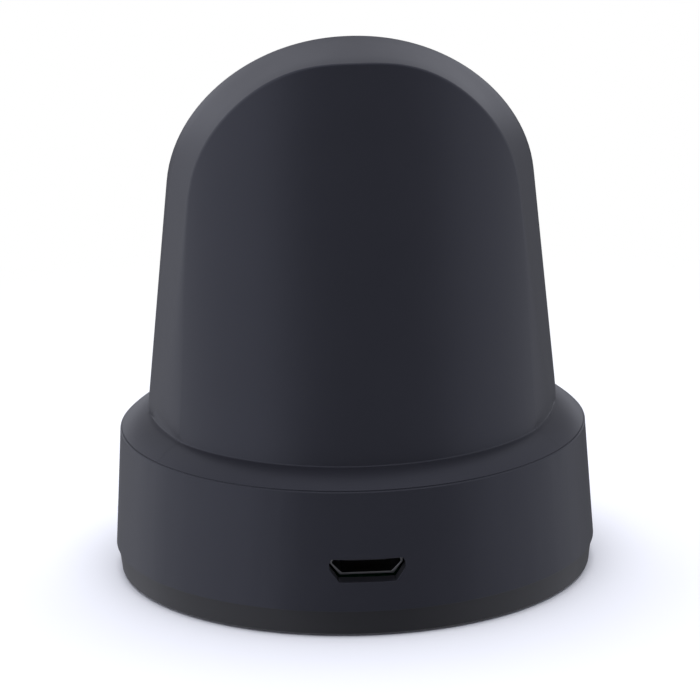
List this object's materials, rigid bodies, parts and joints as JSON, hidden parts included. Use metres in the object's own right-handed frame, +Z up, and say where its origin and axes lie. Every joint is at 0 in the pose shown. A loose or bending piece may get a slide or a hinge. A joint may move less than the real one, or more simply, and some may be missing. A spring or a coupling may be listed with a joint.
{
  "type": "smartwatch charging dock",
  "caption": "Round weighted desk dock with a leaning arched upright that holds and charges a smartwatch, and a charging socket low in its back.",
  "frame": {"origin": "centre of the round foot, on the surface the dock stands on", "axes": "+Z up, -Y towards the charging face, +Y towards the socket in the back, +X to the left of someone who looks at the back"},
  "size_m": [0.054, 0.054, 0.0637],
  "materials": {
    "charcoal_abs": "fine matt moulded texture, dark charcoal with a slight blue cast",
    "dark_abs": "fine matt moulded texture, darker than the wall above it",
    "foot_rubber": "matt",
    "contact_silicone": "soft satin",
    "carrier_nylon": "moulded",
    "copper_wire": "enamelled",
    "ferrite": "fired and ground",
    "nickel_magnet": "nickel plated",
    "zinc_steel": "zinc plated",
    "stamped_steel": "stamped and oiled",
    "socket_steel": "tinned",
    "red_wire": "extruded insulation",
    "black_wire": "extruded insulation",
    "connector_nylon": "moulded",
    "board_laminate": "glass laminate with green solder mask",
    "black_resin": "moulded",
    "gold_contact": "gold flashed",
    "capacitor_ceramic": "fired",
    "led_resin": "moulded",
    "clear_acrylic": "polished"
  },
  "bodies": {
    "root": {"top_shell": "charcoal_abs", "base_wall": "charcoal_abs", "bottom_cover": "dark_abs", "foot_pad": "foot_rubber", "face_plate": "charcoal_abs", "contact_ring": "contact_silicone", "coil_carrier": "carrier_nylon", "charging_coil": "copper_wire", "ferrite_sheet": "ferrite", "holding_magnet": "nickel_magnet", "carrier_screws": "zinc_steel", "coil_lead_a": "red_wire", "coil_lead_b": "black_wire", "lead_plug": "connector_nylon", "lead_header": "connector_nylon", "main_board": "board_laminate", "socket_shell": "socket_steel", "socket_tongue": "black_resin", "socket_contacts": "gold_contact", "charge_controller": "black_resin", "power_transistors": "black_resin", "power_inductor": "ferrite", "resonant_capacitors": "capacitor_ceramic", "filter_capacitors": "capacitor_ceramic", "chip_resistors": "black_resin", "indicator_led": "led_resin", "light_pipe": "clear_acrylic", "ballast_plate": "stamped_steel", "board_screws": "zinc_steel", "housing_screws": "zinc_steel"}
  },
  "joints": []
}
